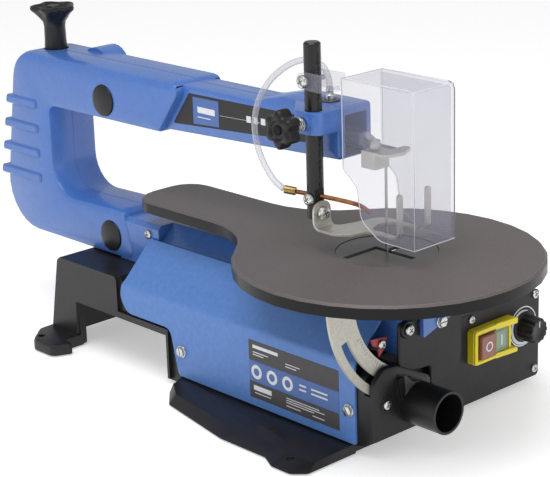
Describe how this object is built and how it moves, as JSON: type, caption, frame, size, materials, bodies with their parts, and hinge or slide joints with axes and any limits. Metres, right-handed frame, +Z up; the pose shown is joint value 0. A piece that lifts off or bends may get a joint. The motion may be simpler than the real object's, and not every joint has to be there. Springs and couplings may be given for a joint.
{
  "type": "scroll_saw",
  "caption": "Bench scroll saw with a rocking C-frame arm, a tilting rounded table, a clear blade guard, a hold-down foot and a dust port.",
  "frame": {"origin": "middle of the whole saw's box, on the floor", "axes": "+X the operator's right, +Y from the operator towards the rear of the saw, +Z up"},
  "size_m": [0.2955, 0.6348, 0.3275],
  "materials": {
    "casing_blue": "gloss blue paint",
    "cover_blue": "textured light blue paint",
    "black_casting": "satin black paint on a casting",
    "table_grey": "dark satin, bright edge",
    "black_plastic": "satin black plastic",
    "rubber": "matt",
    "steel": "zinc plated",
    "quadrant_silver": "matt, speckled",
    "brass": "turned",
    "copper": "bare copper tube",
    "clear_plastic": "clear with a faint violet tint",
    "hose": "clear soft plastic",
    "switch_yellow": "yellow moulding",
    "red": "red moulding",
    "green": "green moulding"
  },
  "bodies": {
    "frame": {"base": "black_casting", "side_cover": "cover_blue", "cover_screw_rear": "steel", "cover_screw_front": "steel", "front_panel": "black_casting", "control_box": "black_plastic", "pivot_cover": "black_casting", "dust_housing": "black_plastic", "switch_housing": "switch_yellow", "casing_left": "casing_blue", "casing_right": "casing_blue", "upper_pivot_cap_left": "black_plastic", "upper_pivot_cap_right": "black_plastic", "lower_pivot_cap_left": "black_plastic", "lower_pivot_cap_right": "black_plastic", "upper_pivot_bolt": "steel", "lower_pivot_bolt": "steel", "motor": "black_plastic", "bellows": "rubber", "cable_gland": "black_plastic", "rubber_foot_front_left": "rubber", "rubber_foot_front_right": "rubber", "rubber_foot_rear_left": "rubber", "rubber_foot_rear_right": "rubber", "tilt_bracket": "casing_blue", "tilt_pivot_bolt": "steel", "bracket_bolt": "steel", "pointer": "red", "air_outlet": "brass", "air_hose": "hose"},
    "tilting_table": {"table": "table_grey", "table_insert": "black_plastic", "tilt_quadrant": "quadrant_silver", "table_trunnion": "black_casting"},
    "upper_rocker": {"upper_arm": "steel", "upper_pivot_bush": "brass", "upper_blade_holder": "steel"},
    "lower_rocker": {"lower_arm": "steel", "lower_pivot_bush": "brass"},
    "saw_blade": {"blade": "steel"},
    "tie_rod": {"tension_rod": "steel"},
    "tension_knob_body": {"tension_knob": "black_plastic"},
    "holder_screw_body": {"holder_screw": "steel"},
    "rotor": {"motor_shaft": "steel", "cooling_fan": "black_plastic"},
    "post_body": {"post": "black_casting", "blow_tube": "copper", "hose_fitting": "brass", "blow_tube_screw": "steel", "guard_screw": "steel"},
    "guard_body": {"guard": "clear_plastic"},
    "foot_body": {"hold_down_foot": "steel", "foot_screw": "steel"},
    "clamp_body": {"clamp_knob": "black_plastic", "clamp_spring": "steel"},
    "off_button_body": {"off_button": "red"},
    "on_button_body": {"on_button": "green"},
    "speed_knob_body": {"speed_knob": "black_plastic"},
    "tilt_lock_body": {"tilt_lock_knob": "black_plastic"}
  },
  "joints": [
    {"name": "table_tilt", "type": "hinge", "parent": "frame", "child": "tilting_table", "pos_m": [-0.01625, -0.185, 0.143], "axis": [0, -1, 0], "range_deg": [0, 30]},
    {"name": "upper_arm_rock", "type": "hinge", "parent": "frame", "child": "upper_rocker", "pos_m": [-0.01625, 0.145, 0.236], "axis": [1, 0, 0], "range_deg": [-1.4, 1.4]},
    {"name": "lower_arm_rock", "type": "hinge", "parent": "frame", "child": "lower_rocker", "pos_m": [-0.01625, 0.145, 0.106], "axis": [1, 0, 0], "range_deg": [-1.4, 1.4]},
    {"name": "blade_swing", "type": "hinge", "parent": "upper_rocker", "child": "saw_blade", "pos_m": [-0.01625, -0.185, 0.23], "axis": [1, 0, 0], "range_deg": [-1.4, 1.4]},
    {"name": "tie_rod_swing", "type": "hinge", "parent": "upper_rocker", "child": "tie_rod", "pos_m": [-0.01625, 0.252, 0.236], "axis": [1, 0, 0], "range_deg": [-1.4, 1.4]},
    {"name": "tension_knob_turn", "type": "hinge", "parent": "tie_rod", "child": "tension_knob_body", "pos_m": [-0.01625, 0.252, 0.27], "axis": [0, 0, 1], "range_deg": [-180, 180]},
    {"name": "holder_screw_turn", "type": "hinge", "parent": "upper_rocker", "child": "holder_screw_body", "pos_m": [-0.02925, -0.186, 0.245], "axis": [0, 0, 1], "range_deg": [-180, 180]},
    {"name": "motor_turn", "type": "hinge", "parent": "frame", "child": "rotor", "pos_m": [-0.01625, -0.115, 0.056], "axis": [1, 0, 0], "continuous": true},
    {"name": "post_slide", "type": "slide", "parent": "frame", "child": "post_body", "axis": [0, 0, 1], "range_m": [-0.012, 0.03], "deforming": ["air_hose"]},
    {"name": "guard_swing", "type": "hinge", "parent": "post_body", "child": "guard_body", "pos_m": [-0.05075, -0.139, 0.297], "axis": [-1, 0, 0], "range_deg": [0, 75]},
    {"name": "foot_tilt", "type": "hinge", "parent": "post_body", "child": "foot_body", "pos_m": [-0.05075, -0.147, 0.188], "axis": [0, -1, 0], "range_deg": [0, 4]},
    {"name": "clamp_knob_turn", "type": "hinge", "parent": "frame", "child": "clamp_body", "pos_m": [-0.07475, -0.139, 0.263], "axis": [1, 0, 0], "range_deg": [-180, 180]},
    {"name": "off_press", "type": "slide", "parent": "frame", "child": "off_button_body", "axis": [0, 1, 0], "range_m": [0, 0.0025], "stiffness_N_per_m": 400},
    {"name": "on_press", "type": "slide", "parent": "frame", "child": "on_button_body", "axis": [0, 1, 0], "range_m": [0, 0.0025], "stiffness_N_per_m": 400},
    {"name": "speed_turn", "type": "hinge", "parent": "frame", "child": "speed_knob_body", "pos_m": [0.12605, -0.215, 0.0575], "axis": [0, -1, 0], "range_deg": [0, 280]},
    {"name": "tilt_lock_turn", "type": "hinge", "parent": "frame", "child": "tilt_lock_body", "pos_m": [0.04265, -0.235, 0.1347], "axis": [0, 1, 0], "range_deg": [-90, 90]}
  ],
  "couplings": [
    {"joint": "lower_arm_rock", "follows": "upper_arm_rock", "ratio": 1},
    {"joint": "blade_swing", "follows": "upper_arm_rock", "ratio": -1},
    {"joint": "tie_rod_swing", "follows": "upper_arm_rock", "ratio": -1}
  ]
}
